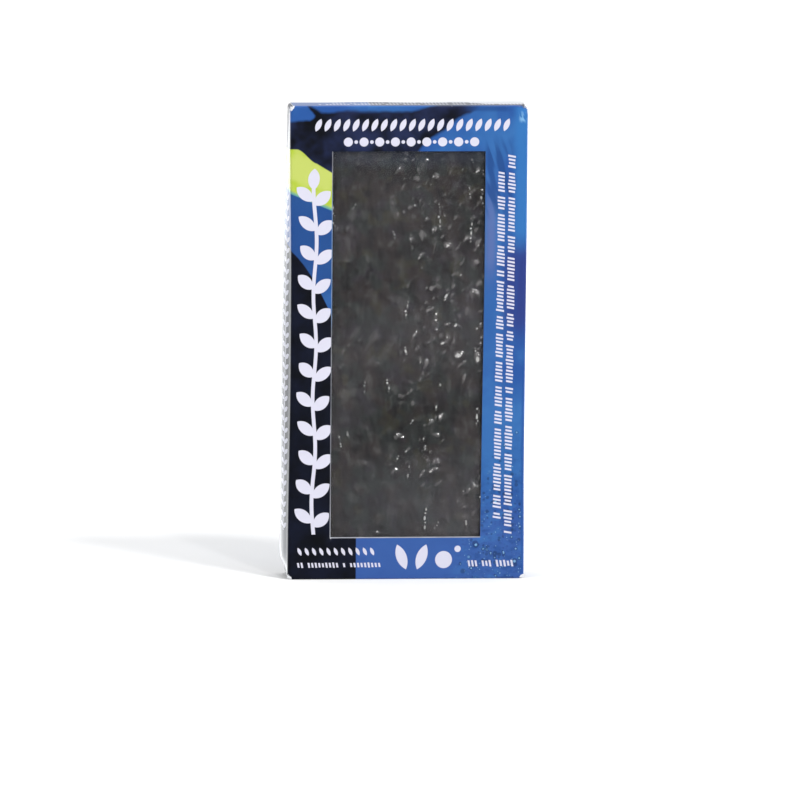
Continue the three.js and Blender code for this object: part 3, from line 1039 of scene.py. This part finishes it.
def sheet_mesh(xs, zs, surface, thickness):
    """A closed leaf whose two faces share one grid: surface(x, z) gives the points of its middle."""
    x, z = np.meshgrid(xs, zs)
    middle = surface(x, z)
    count = x.size
    front, back = middle.copy(), middle.copy()
    front[..., 1] -= thickness / 2
    back[..., 1] += thickness / 2
    points = np.concatenate([front.reshape(-1, 3), back.reshape(-1, 3)])
    corner = np.arange(count).reshape(x.shape)
    a, b = corner[:-1, :-1].ravel(), corner[:-1, 1:].ravel()
    c, d = corner[1:, 1:].ravel(), corner[1:, :-1].ravel()
    rim = np.concatenate([corner[0, :], corner[1:, -1], corner[-1, -2::-1], corner[-2:0:-1, 0]])
    after = np.roll(rim, -1)
    sides = np.stack([after, rim, count + rim, count + after], -1)
    faces = [np.stack([a, b, c, d], -1), count + np.stack([d, c, b, a], -1), sides]
    return points, np.concatenate(faces).tolist()


def build_film():
    xs = np.linspace(film_low.x, film_high.x, 61)
    zs = np.linspace(film_low.z, film_high.z, 131)
    middle = (film_low.y + film_high.y) / 2

    def surface(x, z):
        clear = smoothstep(WINDOW_HALF - np.abs(x), -1, 6)
        clear = clear * smoothstep(z, SILL, SILL + 8) * smoothstep(LINTEL - z, 0, 8)
        wave = 0.09 * layered_noise(x / 11, z / 17, 3, 21) * clear
        return np.stack([x, middle - 0.7 * FACE_SWELL * panel_swell(x, z) + wave, z], -1)

    points, faces = sheet_mesh(xs, zs, surface, FILM_THICK)
    settle(add_mesh("clear_window", points, faces, [clear_film()]), "window_film")


def ragged(along, seed):
    return 0.5 * value_noise(along * 0.16, seed) + 0.25 * value_noise(along * 0.6, seed + 0.5)


def ragged_x(x, z, half, seed):
    """x moved with a leaf's uneven side edges: none at its middle."""
    return x * (1 + ragged(z, seed) / half * np.clip(np.abs(x) / half, 0, 1) ** 3)


def blisters(u, v, wide, tall, share, seed):
    """Scattered domes of uneven size, from 0 to 1: share is the part of the places that have one."""
    gap, chance = nearest_cell(u / wide, v / tall, seed)
    size = 0.26 + 0.3 * (chance / share)
    return smoothstep(gap, size, 0.15 * size) * (chance < share) * (0.5 + 0.5 * chance / share)


def relief(x, z):
    """The pressed sheet's surface towards the window in millimetres, and how much painted highlight its
    blisters get on their lit flanks and painted shade on their far flanks and in its pits.
    """
    u = x + 0.9 * value_noise(x / 3.1, z / 3.7, 5) + 0.25 * value_noise(x / 1.1, z / 1.3, 15)
    v = z + 0.9 * value_noise(x / 3.3, z / 3.5, 6) + 0.25 * value_noise(x / 1.0, z / 1.4, 16)
    waves = 0.06 * np.sin(x * 0.21 + z * 0.05) * np.sin(z * 0.09 + 1)
    calm = 0.5 * smoothstep(60 - z, 0, 12) + 0.3 * smoothstep(x, -2, -14)
    band = 0.3 * np.exp(-(((x - 2) / 5) ** 2))
    patches = smoothstep(layered_noise(x / 8, z / 11, 2, 61) + x / 60 + band - calm, -0.35, 0.25)
    folds = 0.24 * layered_noise(u / 2.5, v / 4.2, 2, 31, 0.4) * (0.5 + 0.5 * patches)
    creases = (1 - np.abs(value_noise(u / 3.0, v / 8.0, 74))) ** 5

    def domes(u, v):
        total = 0.0
        for wide, tall, share, seed, rise, least in BLISTERS:
            shown = least + (1 - least) * patches
            total = total + rise * blisters(u, v, wide, tall, share, seed) * shown
        return total

    pits = blisters(u, v, 4.2, 4.2, 0.22, 151)
    raised = domes(u, v)
    flank = (raised - domes(u - 0.5, v + 0.5)) / 0.3
    height = waves + folds + 0.12 * creases * patches + raised - 0.2 * pits
    # Painted highlight on the flanks that face the light, painted shade on those that face away and in
    # the pits
    lit = np.clip(flank - 0.1, 0, 1)
    shaded = np.clip(np.maximum(pits, -0.8 * flank - 0.1), 0, 1)
    return np.clip(height - 0.09, -RELIEF, RELIEF), lit, shaded


def bead_strings():
    """Middle, lean, length and strength of each string of beads: upright, more of them to the right."""
    draw = random.Random(11)
    strings = []
    while len(strings) < STRING_COUNT:
        x = WINDOW_HALF * (1 - 2 * draw.random() ** 1.5)
        z = SILL + 2 + (LINTEL - SILL - 4) * draw.random()
        beads = draw.choice((3, 4, 5) if len(strings) < LONG_STRINGS else (1, 1, 1, 2))
        lean = math.radians(draw.uniform(-7, 7) if beads > 2 else draw.uniform(-40, 40))
        strength = draw.uniform(0.35, 1.0) if beads > 2 else draw.uniform(0.2, 0.8)
        reach = beads * BEAD_PITCH / 2
        if all(abs(x - o[0]) > 2.2 or abs(z - o[1]) > reach + o[3] + 2 for o in strings):
            strings.append((x, z, lean, reach, strength))
    return strings


def bead_places(x, z):
    """At each place: the distance across and along the nearest string of beads, and its strength."""
    nearest = np.full(x.shape, 99.0)
    across, along, strength = np.zeros((3,) + x.shape)
    for number, (sx, sz, lean, reach, strong) in enumerate(bead_strings()):
        beside = (x - sx) * math.cos(lean) - (z - sz) * math.sin(lean)
        up = (x - sx) * math.sin(lean) + (z - sz) * math.cos(lean)
        gap = np.hypot(beside, np.maximum(np.abs(up) - reach + 0.5, 0))
        closer = gap < nearest
        nearest = np.where(closer, gap, nearest)
        across = np.where(closer, beside, across)
        along = np.where(closer, up + reach + number * STRING_STEP, along)
        strength = np.where(closer, strong * smoothstep(gap, 1.1, 0.6), strength)
    return np.stack([across, along, strength], -1)


def build_front_sheet():
    half = (front_high.x - front_low.x) / 2 - 0.6
    low, high = front_low.z, front_high.z - 0.5
    middle = (front_low.y + front_high.y) / 2
    reach = WINDOW_HALF + 1.5
    xs = np.array(spread(-half, 10, -reach, 124, reach, 10, half))
    zs = np.array(spread(low, 8, SILL - 1.5, 310, LINTEL + 1.5, 6, high))

    def surface(x, z):
        lift = ragged(x, 23.0) * smoothstep(z, high - 12, high)
        raised = relief(x, z)[0] + 0.12 * bead_places(x, z)[..., 2]
        return np.stack([ragged_x(x, z, half, 11.0), middle - np.minimum(raised, RELIEF), z + lift], -1)

    points, faces = sheet_mesh(xs, zs, surface, FRONT_THICK)
    piece = add_mesh("seaweed_front", points, faces, [seaweed("seaweed_gloss", 1.0)])
    grid = np.meshgrid(xs, zs)
    _, lit, shaded = relief(*grid)
    beads = bead_places(*grid)
    add_values(piece, "lit", [lit, lit])
    add_values(piece, "shaded", [shaded, shaded])
    add_values(piece, "beads", [beads, beads], "FLOAT_VECTOR")
    settle(piece, "front_sheet")


def build_pile():
    half = (pile_high.x - pile_low.x) / 2 - 0.5
    low, high = pile_low.z, pile_high.z - 0.4
    pitch = (pile_high.y - pile_low.y) / LEAF_COUNT
    xs, zs = np.linspace(-half, half, 15), np.linspace(low, high, 33)
    points, faces = [], []
    for i in range(LEAF_COUNT):
        middle = pile_low.y + pitch * (i + 0.5)
        drop = 0.35 * lattice(i, 3.0, 5.0)
        shift = 0.5 * (lattice(i, 8.0, 2.0) - 0.5)

        def surface(x, z):
            wave = 0.05 * value_noise(x / 9, z / 13, 100)
            sunk = z - drop * (z - low) / (high - low)
            return np.stack([ragged_x(x, z, half, 91.0 + i) + shift, middle + wave, sunk], -1)

        leaf_points, leaf_faces = sheet_mesh(xs, zs, surface, LEAF_THICK)
        offset = i * len(leaf_points)
        points.append(leaf_points)
        faces.extend([[offset + v for v in face] for face in leaf_faces])
    piece = add_mesh("seaweed_pile", np.concatenate(points), faces, [seaweed("seaweed_dull", 0.5)])
    settle(piece, "sheet_pile")


# The studio


def build_floor():
    shader = Shader("studio_floor")
    tone = shader.noise(shader.place_mm()[0], 900.0, 1.0)
    material = shader.finished(
        Base_Color=shader.coat(srgb(240, 240, 240), (tone, srgb(246, 246, 246))),
        Roughness=0.9,
        Specular_IOR_Level=0.1,
    )
    corners = [(x * FLOOR_HALF, y * FLOOR_HALF, 0) for x, y in ((-1, -1), (1, -1), (1, 1), (-1, 1))]
    floor = add_mesh("floor", corners, [(0, 1, 2, 3)], [material], smooth=False)
    floor.visible_glossy = False


def build_world():
    """White where the camera sees it. It lights the pack mostly from behind, so that the dark print
    stays dark. Its back is brightest low at the sides, which the narrow side reflects, and darkest
    low in the middle."""
    world = bpy.data.worlds.new("studio")
    world.use_nodes = True
    tree = Tree(world.node_tree)
    x, y, z = tree.split(tree.node("TexCoord").outputs["Generated"])
    back = y.step(-0.5, 0.8) * (WORLD_BACK - WORLD_FRONT)
    low = tree.ramp(z, 0.03, -0.06, 0.0, 1.0)
    beside = tree.ramp(x.abs(), 0.06, 0.2, -WORLD_LOW_LOSS, WORLD_LOW_GAIN - 1)
    lit, seen, choose = tree.node("Background"), tree.node("Background"), tree.node("MixShader")
    tree.feed(lit, Color=WORLD_TINT, Strength=back * (low * beside + 1) + WORLD_FRONT)
    tree.feed(seen, Color=(1.0, 1.0, 1.0, 1.0))
    tree.feed(choose, Fac=tree.node("LightPath").outputs["Is Camera Ray"])
    tree.put(choose.inputs[1], lit.outputs[0])
    tree.put(choose.inputs[2], seen.outputs[0])
    tree.feed(tree.node("OutputWorld"), Surface=choose.outputs[0])
    bpy.context.scene.world = world


def toward(azimuth, elevation):
    """Where that direction is: azimuth 0 is in front of the window and 90 is to its right."""
    a, e = math.radians(azimuth), math.radians(elevation)
    return Vector((math.sin(a) * math.cos(e), -math.cos(a) * math.cos(e), math.sin(e)))


def add_soft_sun(name, azimuth, elevation, strength, softness):
    """An even, distant light."""
    light = bpy.data.lights.new(name, "SUN")
    light.energy = strength
    light.angle = math.radians(softness)
    lamp = bpy.data.objects.new(name, light)
    lamp.location = toward(azimuth, elevation)
    lamp.rotation_euler = (-lamp.location).to_track_quat("-Z", "Y").to_euler()
    bpy.context.scene.collection.objects.link(lamp)


def build_camera():
    data = bpy.data.cameras.new("camera")
    data.sensor_width = 36.0
    data.lens = PX_PER_M * CAMERA_DISTANCE * data.sensor_width / FRAME_PX
    data.clip_end = 50.0
    camera = bpy.data.objects.new("camera", data)
    bpy.context.scene.collection.objects.link(camera)
    away = toward(CAMERA_AZIMUTH, CAMERA_ELEVATION)
    roll = Matrix.Rotation(math.radians(CAMERA_ROLL), 4, "Z").to_quaternion()
    turn = (-away).to_track_quat("-Z", "Y") @ roll
    right, up = turn @ Vector((1, 0, 0)), turn @ Vector((0, 1, 0))
    offset_x = (PACK_MIDDLE_PX[0] - FRAME_PX / 2) / PX_PER_M
    offset_y = (FRAME_PX / 2 - PACK_MIDDLE_PX[1]) / PX_PER_M
    middle = Vector((0, 0, HEIGHT * MM / 2))
    camera.location = middle + away * CAMERA_DISTANCE - right * offset_x - up * offset_y
    camera.rotation_mode = "QUATERNION"
    camera.rotation_quaternion = turn
    bpy.context.scene.camera = camera


build_camera()
build_carton()
build_film()
build_front_sheet()
build_pile()
build_floor()
build_world()
for sun in SUNS:
    add_soft_sun(*sun)
bpy.context.scene.view_settings.view_transform = "Standard"
